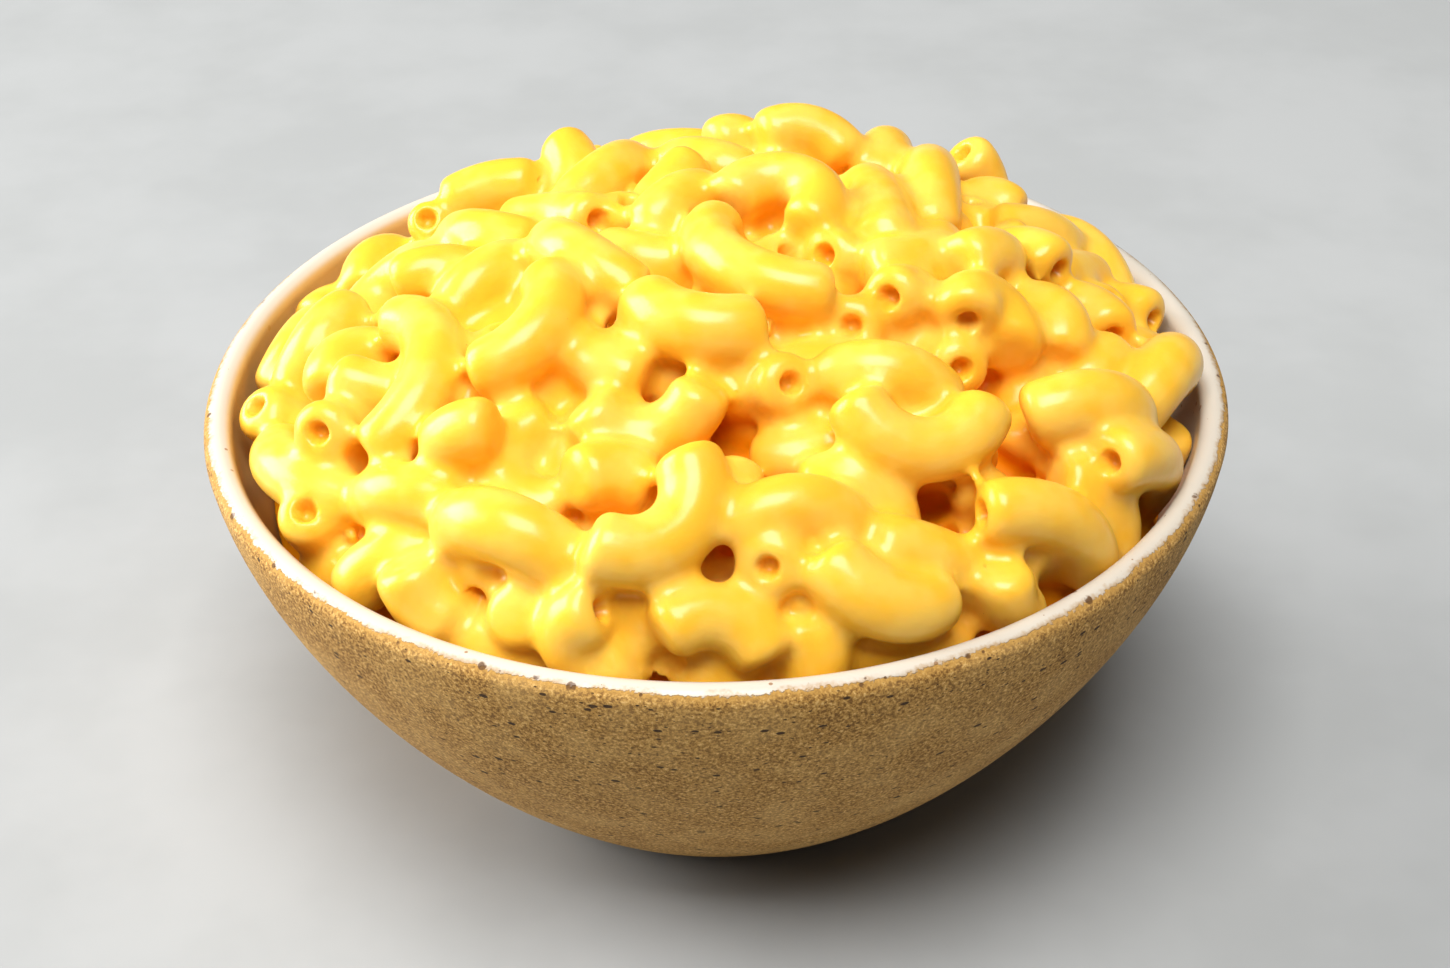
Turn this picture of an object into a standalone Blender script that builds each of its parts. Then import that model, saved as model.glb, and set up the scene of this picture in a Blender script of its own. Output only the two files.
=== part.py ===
"""Elbow macaroni in cheese sauce, heaped in a speckled stoneware bowl.

Metres, +Z up, with the origin under the middle of the bowl's foot. The bowl is one turned
solid. The macaroni is one heap: a domed core with the elbows that show fused onto it.
"""

import math
import random

import bmesh
import bpy
from mathutils import Matrix, Vector

MM = 0.001

# The bowl's driving dimensions.
RIM_RADIUS = 80.0 * MM
BOWL_HEIGHT = 69.0 * MM
FOOT_RADIUS = 36.0 * MM
WALL_AT_RIM = 4.4 * MM
FLOOR_THICKNESS = 7.0 * MM
WELL_RADIUS = 26.0 * MM
FOOT_BEVEL = 0.8 * MM
OUTER_BELLY = (1.58, 1.14)
INNER_BELLY = (1.62, 1.22)
BOWL_SIDES = 64
WALL_STEPS = 7
LIP_STEPS = 4

# The heap: levels are those of the middle of the top layer of elbows, against the rim.
FIT_GAP = 0.3 * MM
HEAP_RADIUS = 71.0 * MM
EDGE_DROP = 5.0 * MM
EDGE_LEAN = 3.0 * MM
LOW_BEARING = math.radians(135)
DOME_RISE = 26.0 * MM
DOME_FULLNESS = 2.5
CROWN_AT = (14.0 * MM, 40.0 * MM)
CROWN_RISE = 4.5 * MM
CROWN_SPREAD = 15.0 * MM
CORE_DEPTH = 4.2 * MM
CORE_EDGE_DROP = 13.0 * MM
CORE_RINGS = 5

# One elbow, coated in sauce.
TUBE_RADIUS = 4.5 * MM
BEND_RADIUS = 9.0 * MM
SWEEPS = (math.radians(95), math.radians(165))
BORE_RADIUS = 2.0 * MM
BORE_DEPTH = 2.4 * MM
TUBE_SIDES = 6
TUBE_STEPS = 4

# How the elbows are laid: evenly over the dome, each at the best of some random tries.
ELBOWS = 76
LAID_RADIUS = 69.0 * MM
TRIES = 120
JITTER = 3.0 * MM
LIFT = (-1.2 * MM, 1.2 * MM)
ARCH_SPREAD = math.radians(38)
TIP_SPREAD = math.radians(26)
CLOSEST = 0.8 * TUBE_RADIUS
CHECK_POINTS = 7
SEED = 11

STONEWARE = ("stoneware", (0.42, 0.29, 0.15, 1.0), 0.85)
CHEESE = ("cheese_sauce", (0.95, 0.62, 0.12, 1.0), 0.35)


def clear_scene():
    """Remove whatever the file holds, so that the model stands alone."""
    for obj in list(bpy.data.objects):
        bpy.data.objects.remove(obj)


def material(name, colour, roughness):
    """A Principled material of one colour."""
    made = bpy.data.materials.new(name)
    made.use_nodes = True
    shader = made.node_tree.nodes["Principled BSDF"]
    shader.inputs["Base Color"].default_value = colour
    shader.inputs["Roughness"].default_value = roughness
    shader.inputs["Metallic"].default_value = 0.0
    return made


def wall_radius(share, rim, foot, belly):
    """The radius of a bellied wall at a share of its depth, 0 at the rim and 1 at the foot."""
    depth_power, root = belly
    return foot + (rim - foot) * (1.0 - share**depth_power) ** (1.0 / root)


def outer_radius(z):
    """The bowl's outside at a height above the table."""
    return wall_radius(1.0 - z / BOWL_HEIGHT, RIM_RADIUS, FOOT_RADIUS, OUTER_BELLY)


def inner_radius(z):
    """The bowl's inside at a height above the table."""
    depth = BOWL_HEIGHT - FLOOR_THICKNESS
    share = min(max((BOWL_HEIGHT - z) / depth, 0.0), 1.0)
    return wall_radius(share, RIM_RADIUS - WALL_AT_RIM, WELL_RADIUS, INNER_BELLY)


def wall_heights(low, high):
    """Heights from high to low, closer together near the foot, where the wall curves most."""
    turns = [math.sin(0.5 * math.pi * i / WALL_STEPS) for i in range(WALL_STEPS + 1)]
    return [high + (low - high) * turn for turn in turns]


def turned(name, profile, collection):
    """A profile of (radius, height) points turned once round the Z axis."""
    mesh = bpy.data.meshes.new(name)
    points = [(radius, 0.0, height) for radius, height in profile]
    mesh.from_pydata(points, [(i, i + 1) for i in range(len(points) - 1)], [])
    obj = bpy.data.objects.new(name, mesh)
    collection.objects.link(obj)
    screw = obj.modifiers.new("turn", "SCREW")
    screw.axis = "Z"
    screw.steps = screw.render_steps = BOWL_SIDES
    screw.use_merge_vertices = True
    screw.merge_threshold = 0.00001
    screw.use_smooth_shade = True
    return obj


def applied(obj):
    """The object with its modifiers worked into its mesh."""
    graph = bpy.context.evaluated_depsgraph_get()
    mesh = bpy.data.meshes.new_from_object(obj.evaluated_get(graph))
    obj.modifiers.clear()
    obj.data = mesh
    return obj


def bowl(collection):
    """The bowl: floor, inner wall, rounded lip, outer wall and flat foot in one profile."""
    lip_radius = WALL_AT_RIM / 2
    lip_height = BOWL_HEIGHT - lip_radius
    inside = [(inner_radius(z), z) for z in reversed(wall_heights(FLOOR_THICKNESS, lip_height))]
    outside = [(outer_radius(z), z) for z in wall_heights(FOOT_BEVEL, lip_height)]
    middle = (inside[-1][0] + outside[0][0]) / 2
    half = (outside[0][0] - inside[-1][0]) / 2
    lip = []
    for i in range(1, LIP_STEPS):
        turn = math.pi * (1.0 - i / LIP_STEPS)
        lip.append((middle + half * math.cos(turn), lip_height + lip_radius * math.sin(turn)))
    foot = [(FOOT_RADIUS, 0.0), (0.0, 0.0)]
    profile = [(0.0, FLOOR_THICKNESS)] + inside + lip + outside + foot
    obj = turned("bowl", profile, collection)
    obj.data.materials.append(material(*STONEWARE))
    return obj


def heap_level(x, y):
    """The level of the middle of the top layer of elbows: a full dome, lower at the back left
    edge, with a crown towards the back."""
    reach = math.hypot(x, y) / HEAP_RADIUS
    lean = EDGE_LEAN * reach * math.cos(math.atan2(y, x) - LOW_BEARING)
    dome = DOME_RISE * (1.0 - reach**DOME_FULLNESS)
    off_crown = math.hypot(x - CROWN_AT[0], y - CROWN_AT[1]) / CROWN_SPREAD
    crown = CROWN_RISE * math.exp(-0.5 * off_crown**2)
    return BOWL_HEIGHT - EDGE_DROP - lean + dome + crown


def heap_normal(x, y):
    """The way that the dome's surface faces at a place."""
    step = 1.0 * MM
    slope_x = (heap_level(x + step, y) - heap_level(x - step, y)) / (2 * step)
    slope_y = (heap_level(x, y + step) - heap_level(x, y - step)) / (2 * step)
    return Vector((-slope_x, -slope_y, 1.0)).normalized()


def core(collection):
    """The heap's core: it fills the bowl and domes up under the elbows."""
    edge_height = BOWL_HEIGHT - CORE_EDGE_DROP
    heights = reversed(wall_heights(FLOOR_THICKNESS + FIT_GAP, edge_height))
    wall = [(inner_radius(z - FIT_GAP) - FIT_GAP, z) for z in heights]
    floor = [(0.0, FLOOR_THICKNESS + FIT_GAP)]
    edge_radius = wall[-1][0] - WALL_AT_RIM / 4
    top = [(edge_radius * (1.0 - i / CORE_RINGS), BOWL_HEIGHT) for i in range(CORE_RINGS + 1)]
    profile = (floor + wall + top)[::-1]
    obj = applied(turned("macaroni_heap", profile, collection))
    for vertex in obj.data.vertices:
        if vertex.co.z > edge_height + FIT_GAP:
            vertex.co.z = heap_level(vertex.co.x, vertex.co.y) - CORE_DEPTH
    return obj


class Elbow:
    """One piece of macaroni: an arc of tube, placed by where and which way it lies."""

    def __init__(self, place, sweep):
        self.place = place
        self.sweep = sweep

    def arc_point(self, share):
        """A point of the centreline in the elbow's own frame, with share from 0 to 1."""
        turn = self.sweep * (share - 0.5)
        middle = BEND_RADIUS * (1.0 + math.cos(self.sweep / 2)) / 2
        return Vector((BEND_RADIUS * math.cos(turn) - middle, BEND_RADIUS * math.sin(turn), 0.0))

    def centreline(self):
        """Points along the tube's middle, in the bowl's frame."""
        shares = [i / (CHECK_POINTS - 1) for i in range(CHECK_POINTS)]
        return [self.place @ self.arc_point(share) for share in shares]

    def mesh(self, name):
        """A bent tube of few sides, with a blind bore in each end."""
        form = bmesh.new()
        arc_centre = self.arc_point(0.5) - Vector((BEND_RADIUS, 0.0, 0.0))
        start = self.arc_point(0.0)
        turn = Matrix.Rotation(-self.sweep / 2, 4, "Z")
        upright = Matrix.Rotation(math.pi / 2, 4, "X")
        disc = bmesh.ops.create_circle(
            form,
            cap_ends=True,
            segments=TUBE_SIDES,
            radius=TUBE_RADIUS,
            matrix=Matrix.Translation(start) @ turn @ upright,
        )
        first_end = disc["verts"][0].link_faces[0]
        swept = bmesh.ops.spin(
            form,
            geom=[first_end],
            cent=arc_centre,
            axis=(0.0, 0.0, 1.0),
            angle=self.sweep,
            steps=TUBE_STEPS,
            use_duplicate=False,
        )
        last_end = next(g for g in swept["geom_last"] if isinstance(g, bmesh.types.BMFace))
        bmesh.ops.recalc_face_normals(form, faces=form.faces)
        for face in form.faces:
            face.smooth = face not in (first_end, last_end)
        for end in (first_end, last_end):
            bore(form, end)
        form.transform(self.place)
        mesh = bpy.data.meshes.new(name)
        form.to_mesh(mesh)
        form.free()
        return mesh


def bore(form, end):
    """Sink a blind hole into a tube's end face."""
    into = -end.normal * BORE_DEPTH
    bmesh.ops.inset_region(form, faces=[end], thickness=TUBE_RADIUS - BORE_RADIUS)
    sunk = bmesh.ops.extrude_discrete_faces(form, faces=[end])["faces"][0]
    bmesh.ops.translate(form, verts=sunk.verts, vec=into)


def try_place(anchor, draw):
    """A random way for an elbow to lie near an anchor on the dome."""
    x = anchor[0] + draw.uniform(-JITTER, JITTER)
    y = anchor[1] + draw.uniform(-JITTER, JITTER)
    normal = heap_normal(x, y)
    at = Vector((x, y, heap_level(x, y))) + normal * draw.uniform(*LIFT)
    face_out = Vector((0.0, 0.0, 1.0)).rotation_difference(normal).to_matrix().to_4x4()
    heading = Matrix.Rotation(draw.uniform(0.0, 2.0 * math.pi), 4, "Z")
    arch = Matrix.Rotation(draw.gauss(0.0, ARCH_SPREAD), 4, "Y")
    tip = Matrix.Rotation(draw.gauss(0.0, TIP_SPREAD), 4, "X")
    return Elbow(Matrix.Translation(at) @ face_out @ heading @ arch @ tip, draw.uniform(*SWEEPS))


def inside_bowl(points):
    """Whether a tube along these points stays clear of the bowl's wall."""
    for point in points:
        wall = inner_radius(min(point.z, BOWL_HEIGHT))
        if math.hypot(point.x, point.y) + TUBE_RADIUS + 2 * FIT_GAP > wall:
            return False
    return True


def clearance(points, laid):
    """The shortest way from a centreline to those already laid."""
    gaps = [(a - b).length for other in laid for a in points for b in other]
    return min(gaps, default=RIM_RADIUS)


def lay_elbows():
    """Elbows spread over the dome in a sunflower pattern, each at the clearest of its tries."""
    draw = random.Random(SEED)
    golden = math.pi * (3.0 - math.sqrt(5.0))
    elbows, laid = [], []
    for i in range(ELBOWS):
        reach = LAID_RADIUS * math.sqrt((i + 0.5) / ELBOWS)
        anchor = (reach * math.cos(i * golden), reach * math.sin(i * golden))
        best = None
        for _ in range(TRIES):
            elbow = try_place(anchor, draw)
            points = elbow.centreline()
            if not inside_bowl(points):
                continue
            room = clearance(points, laid)
            if best is None or room > best[0]:
                best = (room, elbow, points)
        if best and best[0] > CLOSEST:
            elbows.append(best[1])
            laid.append(best[2])
    return elbows


def largest_body_only(mesh):
    """Drop loose scraps and fill sealed hollows: of the mesh's islands, only the widest stays."""
    form = bmesh.new()
    form.from_mesh(mesh)
    unseen = set(form.verts)
    islands = []
    while unseen:
        island, front = set(), [unseen.pop()]
        while front:
            vertex = front.pop()
            island.add(vertex)
            near = {edge.other_vert(vertex) for edge in vertex.link_edges} & unseen
            unseen -= near
            front.extend(near)
        islands.append(island)
    islands.sort(key=lambda island: max(v.co.x for v in island) - min(v.co.x for v in island))
    scraps = [vertex for island in islands[:-1] for vertex in island]
    bmesh.ops.delete(form, geom=scraps, context="VERTS")
    form.to_mesh(mesh)
    form.free()


def macaroni_heap(collection):
    """The core and its elbows, joined by one Boolean into a single solid."""
    heap = core(collection)
    loose = bpy.data.collections.new("loose elbows")
    bpy.context.scene.collection.children.link(loose)
    for i, elbow in enumerate(lay_elbows()):
        obj = bpy.data.objects.new(f"elbow_{i}", elbow.mesh(f"elbow_{i}"))
        loose.objects.link(obj)
    join = heap.modifiers.new("join elbows", "BOOLEAN")
    join.operation = "UNION"
    join.operand_type = "COLLECTION"
    join.collection = loose
    join.solver = "MANIFOLD"
    applied(heap)
    for obj in list(loose.objects):
        bpy.data.objects.remove(obj)
    bpy.data.collections.remove(loose)
    largest_body_only(heap.data)
    heap.data.materials.clear()
    heap.data.materials.append(material(*CHEESE))
    return heap


def main():
    """Build the bowl and what it holds."""
    clear_scene()
    dish = bpy.data.collections.new("macaroni and cheese")
    bpy.context.scene.collection.children.link(dish)
    bowl(dish)
    macaroni_heap(dish)


main()
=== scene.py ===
"""Elbow macaroni in cheese sauce, heaped in a speckled stoneware bowl, dressed for rendering.

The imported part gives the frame: the bowl and the heap are rebuilt over their solids with
their real finish. Lengths are metres unless a name ends in _mm, and +Z is up.
"""

import logging
import math
import random
from dataclasses import dataclass, field, replace
from enum import Enum
from typing import Any, Iterator, Optional, Union

import bpy
import numpy as np
from mathutils import Matrix, Vector


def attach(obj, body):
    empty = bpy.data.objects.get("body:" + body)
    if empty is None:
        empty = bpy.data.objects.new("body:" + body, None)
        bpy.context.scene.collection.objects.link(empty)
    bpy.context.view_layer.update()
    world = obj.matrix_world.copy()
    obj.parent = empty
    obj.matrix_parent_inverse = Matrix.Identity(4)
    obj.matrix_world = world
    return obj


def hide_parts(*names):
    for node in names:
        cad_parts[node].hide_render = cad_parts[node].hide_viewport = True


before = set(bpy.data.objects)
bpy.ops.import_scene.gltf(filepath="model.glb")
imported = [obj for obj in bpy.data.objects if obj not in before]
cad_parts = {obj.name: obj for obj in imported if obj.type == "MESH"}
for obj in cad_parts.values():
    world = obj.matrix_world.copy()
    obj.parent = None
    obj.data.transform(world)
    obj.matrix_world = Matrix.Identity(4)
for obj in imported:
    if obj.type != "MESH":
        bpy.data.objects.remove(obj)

MM = 0.001
LOG = logging.getLogger("mac_and_cheese")
Colour = tuple[float, float, float, float]
Pixel = tuple[float, float]
Number = Union[float, "Value"]


class Piece(Enum):
    """The object's pieces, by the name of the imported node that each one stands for."""

    BOWL = "bowl"
    HEAP = "macaroni_heap"


# Shader maths


@dataclass(frozen=True)
class Specks:
    """Separate specks, scattered unevenly and of uneven size.

    `spacing` is the usual way from one possible speck to the next and `radius` the largest
    speck's radius, both in metres. `share` is the share of the places that hold a speck.
    `smallest` is the least size and `solid` the part inside the soft edge, as shares.
    """

    spacing: float
    radius: float
    share: float
    smallest: float = 0.25
    solid: float = 0.75
    sharp: float = 0.001


class Value:
    """A shader socket that takes part in Python arithmetic, one Math node to an operation."""

    def __init__(self, nodes: "Nodes", socket: bpy.types.NodeSocket) -> None:
        """Wrap a socket.

        Args:
            nodes: the builder of the tree that the socket is in.
            socket: the output socket.
        """
        self.nodes = nodes
        self.socket = socket

    def math(self, operation: str, *others: Number) -> "Value":
        """Add a Math node with this socket first.

        Args:
            operation: the Math node's operation.
            others: its further inputs.

        Returns:
            The node's result.
        """
        inputs = {i: value for i, value in enumerate((self, *others))}
        node = self.nodes.add("ShaderNodeMath", {"operation": operation}, inputs)
        return Value(self.nodes, node.outputs[0])

    def __add__(self, other: Number) -> "Value":
        """This plus another."""
        return self.math("ADD", other)

    def __radd__(self, other: Number) -> "Value":
        """A number plus this."""
        return self.math("ADD", other)

    def __sub__(self, other: Number) -> "Value":
        """This less another."""
        return self.math("SUBTRACT", other)

    def __rsub__(self, other: float) -> "Value":
        """A number less this."""
        return self.math("MULTIPLY", -1.0) + other

    def __mul__(self, other: Number) -> "Value":
        """This times another."""
        return self.math("MULTIPLY", other)

    def __rmul__(self, other: Number) -> "Value":
        """A number times this."""
        return self.math("MULTIPLY", other)

    def __truediv__(self, other: Number) -> "Value":
        """This over another."""
        return self.math("DIVIDE", other)

    def at_least(self, other: Number) -> "Value":
        """The larger of this and another."""
        return self.math("MAXIMUM", other)

    def rise(self, low: float, high: float) -> "Value":
        """A smooth step.

        Args:
            low: where the step begins, at 0.
            high: where it ends, at 1; lower than low for a falling step.

        Returns:
            The step's height, from 0 to 1.
        """
        settings = {"interpolation_type": "SMOOTHSTEP"}
        falling = high < low
        inputs = {"Value": self, "From Min": min(low, high), "From Max": max(low, high)}
        node = self.nodes.add("ShaderNodeMapRange", settings, inputs)
        step = Value(self.nodes, node.outputs["Result"])
        return 1.0 - step if falling else step


class Nodes:
    """Builds one material's node tree."""

    def __init__(self, name: str) -> None:
        """Start a material that holds a Principled shader and its output.

        Args:
            name: the material's name.
        """
        self.material = bpy.data.materials.new(name)
        self.material.use_nodes = True
        self.tree = self.material.node_tree
        self.tree.nodes.clear()
        self.shader = self.add("ShaderNodeBsdfPrincipled", {}, {})
        surface = {"Surface": self.shader.outputs["BSDF"]}
        self.add("ShaderNodeOutputMaterial", {}, surface)
        coordinates = self.add("ShaderNodeTexCoord", {}, {})
        self.place = coordinates.outputs["Object"]

    def add(self, kind: str, settings: dict[str, Any], inputs: dict[Any, Any]) -> bpy.types.Node:
        """Add one node.

        Args:
            kind: the node's type.
            settings: its properties, set first.
            inputs: a value, a Value or an output socket for each named or numbered input.

        Returns:
            The node.
        """
        node = self.tree.nodes.new(kind)
        for name, setting in settings.items():
            setattr(node, name, setting)
        for name, value in inputs.items():
            if isinstance(value, Value):
                value = value.socket
            if isinstance(value, bpy.types.NodeSocket):
                self.tree.links.new(value, node.inputs[name])
            else:
                node.inputs[name].default_value = value
        return node

    def stretched(self, scale: tuple[float, float, float]) -> bpy.types.NodeSocket:
        """The piece's own coordinates, each multiplied by its part of the scale."""
        mapping = self.add("ShaderNodeMapping", {}, {"Vector": self.place, "Scale": scale})
        return mapping.outputs["Vector"]

    def noise(
        self,
        size: float,
        detail: float = 2.0,
        roughness: float = 0.5,
        place: Optional[bpy.types.NodeSocket] = None,
    ) -> Value:
        """Smooth noise.

        Args:
            size: the width of its lumps in metres.
            detail: how many finer layers it has.
            roughness: how strong those are.
            place: coordinates other than the piece's own.

        Returns:
            The noise, about 0.5 in the middle.
        """
        inputs = {
            "Vector": place or self.place,
            "Scale": 1.0 / size,
            "Detail": detail,
            "Roughness": roughness,
        }
        return Value(self, self.add("ShaderNodeTexNoise", {}, inputs).outputs[0])

    def specks(self, kind: Specks, place: Optional[bpy.types.NodeSocket] = None) -> Value:
        """Scattered specks.

        Args:
            kind: how large and how many they are.
            place: coordinates other than the piece's own.

        Returns:
            1 inside a speck and 0 outside.
        """
        settings = {"feature": "F1"}
        inputs = {"Vector": place or self.place, "Scale": 1.0 / kind.spacing, "Randomness": 1.0}
        cells = self.add("ShaderNodeTexVoronoi", settings, inputs)
        split = self.add("ShaderNodeSeparateColor", {}, {"Color": cells.outputs["Color"]})
        drawn = Value(self, split.outputs[0])
        size = Value(self, split.outputs[1]) * (1.0 - kind.smallest) + kind.smallest
        reach = Value(self, cells.outputs["Distance"]) / (size * (kind.radius / kind.spacing))
        least = 1.0 - kind.share
        return reach.rise(1.0, kind.solid) * drawn.rise(least, least + kind.sharp)

    def attribute(self, name: str) -> Value:
        """The value that the mesh carries under a name."""
        node = self.add("ShaderNodeAttribute", {"attribute_name": name}, {})
        return Value(self, node.outputs["Fac"])

    def mix(self, factor: Number, first: Any, second: Any) -> bpy.types.NodeSocket:
        """Blend two colours.

        Args:
            factor: 0 for the first and 1 for the second.
            first: a colour or a colour socket.
            second: a colour or a colour socket.

        Returns:
            The blended colour.
        """
        settings = {"data_type": "RGBA", "clamp_factor": True}
        node = self.add("ShaderNodeMix", settings, {0: factor, 6: first, 7: second})
        return node.outputs[2]

    def relief(self, height: Value, depth: float) -> bpy.types.NodeSocket:
        """A normal that shows a height field.

        Args:
            height: the field, from 0 to 1.
            depth: what 1 stands for, in metres.

        Returns:
            The bumped normal.
        """
        inputs = {"Height": height, "Distance": depth, "Strength": 1.0}
        return self.add("ShaderNodeBump", {}, inputs).outputs["Normal"]

    def finish(self, **inputs: Any) -> bpy.types.Material:
        """Feed the Principled shader.

        Args:
            inputs: its inputs by name, with _ for a space.

        Returns:
            The material.
        """
        for name, value in inputs.items():
            socket = self.shader.inputs[name.replace("_", " ")]
            if isinstance(value, Value):
                value = value.socket
            if isinstance(value, bpy.types.NodeSocket):
                self.tree.links.new(value, socket)
            else:
                socket.default_value = value
        return self.material


# Finishes


@dataclass(frozen=True)
class Stoneware:
    """Sandy, speckled clay outside and off-white glaze inside and over the lip."""

    down_outside: str = "down_outside"
    glaze_edge_mm: float = 1.5
    ragged_size: float = 5.0 * MM
    ragged_mm: float = 1.6
    frayed_size: float = 0.6 * MM
    frayed_mm: float = 1.3
    # The next four fields place painted shade, a golden sauce film, below the lip on the shaded
    # left of the inner wall.
    shade_film_from_mm: float = 1.0
    shade_film_full_mm: float = 2.4
    shade_film_side: float = 0.05
    shade_film_size: float = 7.0 * MM
    grain_size: float = 0.5 * MM
    mottle_size: float = 9.0 * MM
    blotch_size: float = 4.0 * MM
    wave_size: float = 6.0 * MM
    relief_depth: float = 0.22 * MM
    flattened: tuple[float, float, float] = (0.75, 0.75, 1.5)
    large_iron: Specks = Specks(2.1 * MM, 0.62 * MM, 0.4)
    small_iron: Specks = Specks(0.9 * MM, 0.24 * MM, 0.45)
    large_freckles: Specks = Specks(3.6 * MM, 0.6 * MM, 0.5)
    small_freckles: Specks = Specks(1.7 * MM, 0.22 * MM, 0.35)
    lip_specks: Specks = Specks(2.4 * MM, 0.85 * MM, 0.5)
    clay: Colour = (0.50, 0.265, 0.06, 1.0)
    clay_light: Colour = (0.78, 0.50, 0.18, 1.0)
    clay_dark: Colour = (0.19, 0.085, 0.016, 1.0)
    iron: Colour = (0.03, 0.013, 0.005, 1.0)
    rust: Colour = (0.26, 0.115, 0.03, 1.0)
    burnt: Colour = (0.10, 0.04, 0.012, 1.0)
    toasted: Colour = (0.50, 0.27, 0.06, 1.0)
    glaze: Colour = (0.62, 0.56, 0.47, 1.0)
    glaze_thin: Colour = (0.46, 0.31, 0.17, 1.0)
    # Painted shade: the golden sauce film's colour on the inner wall's shaded side.
    sauce_film_and_shade: Colour = (0.50, 0.31, 0.08, 1.0)

    def material(self) -> bpy.types.Material:
        """Make the material.

        Returns:
            The material.
        """
        nodes = Nodes("speckled stoneware")
        down = nodes.attribute(self.down_outside)
        ragged = (nodes.noise(self.ragged_size, 3.0) - 0.5) * self.ragged_mm
        frayed = (nodes.noise(self.frayed_size, 2.0) - 0.5) * self.frayed_mm
        past_edge = down - (ragged + frayed + self.glaze_edge_mm)
        bare = past_edge.rise(-0.12, 0.12)
        grain = nodes.noise(self.grain_size, 3.0, 0.7)
        flat = nodes.stretched(self.flattened)
        iron = nodes.specks(self.large_iron, flat).at_least(nodes.specks(self.small_iron, flat))

        clay = self.bare_clay(nodes, grain, iron, past_edge)
        colour = nodes.mix(bare, self.glazed(nodes, down, past_edge), clay)
        at_edge = past_edge.rise(-0.9, -0.3) * past_edge.rise(1.0, 0.4)
        colour = nodes.mix(nodes.specks(self.lip_specks) * at_edge * 0.85, colour, self.burnt)

        waves = nodes.noise(self.wave_size, 1.0) * 0.5 * (1.0 - bare)
        height = grain * bare * 0.55 + (1.0 - iron) * bare * 0.25 + waves + (1.0 - bare) * 0.7
        return nodes.finish(
            Base_Color=colour,
            Roughness=bare * 0.55 + 0.3,
            Normal=nodes.relief(height, self.relief_depth),
            Specular_IOR_Level=0.35,
        )

    def bare_clay(
        self, nodes: Nodes, grain: Value, iron: Value, past_edge: Value
    ) -> bpy.types.NodeSocket:
        """Colour the unglazed clay: sandy grain, iron specks and a toasted line at the glaze.

        Args:
            nodes: the material's nodes.
            grain: the sandy grain.
            iron: where the iron specks are.
            past_edge: how far down past the glaze's edge, in mm.

        Returns:
            The colour.
        """
        clay = nodes.mix(grain.rise(0.38, 0.56), self.clay_dark, self.clay)
        clay = nodes.mix(grain.rise(0.54, 0.70), clay, self.clay_light)
        mottle = nodes.noise(self.mottle_size, 3.0)
        clay = nodes.mix(mottle.rise(0.35, 0.75) * 0.25, clay, self.clay_light)
        clay = nodes.mix(iron * 0.92, clay, self.iron)
        scorch = past_edge.rise(-0.25, 0.0) * past_edge.rise(1.1, 0.1)
        return nodes.mix(scorch * 0.8, clay, self.toasted)

    def glazed(self, nodes: Nodes, down: Value, past_edge: Value) -> bpy.types.NodeSocket:
        """Colour the glaze: thin at its edge, freckled, and on the shaded side a golden sauce film
        that is also painted shade.

        Args:
            nodes: the material's nodes.
            down: how far down the outside, in mm, and below 0 on the inside.
            past_edge: how far down past the glaze's edge, in mm.

        Returns:
            The colour.
        """
        blotch = nodes.noise(self.blotch_size, 2.0).rise(0.38, 0.56)
        thin = past_edge.rise(-0.9, -0.05) * (blotch * 0.6 + 0.25)
        glaze = nodes.mix(thin, self.glaze, self.glaze_thin)
        freckle = nodes.specks(self.large_freckles).at_least(nodes.specks(self.small_freckles))
        glaze = nodes.mix(freckle * 0.8, glaze, self.rust)
        # Painted shade: a golden sauce film on the left of the inner wall, where the wall is in
        # shade, standing for that shade and its yellow bounce light.
        across = nodes.add("ShaderNodeSeparateXYZ", {}, {"Vector": nodes.place})
        leftward = Value(nodes, across.outputs["X"]) - Value(nodes, across.outputs["Y"]) * 0.6
        uneven = (nodes.noise(self.shade_film_size, 2.0) - 0.5) * 0.06
        shaded_side = (leftward + uneven).rise(0.0, -self.shade_film_side)
        shaded_below_food = down.rise(-self.shade_film_from_mm, -self.shade_film_full_mm) * shaded_side
        return nodes.mix(shaded_below_food * 0.85, glaze, self.sauce_film_and_shade)


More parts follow.
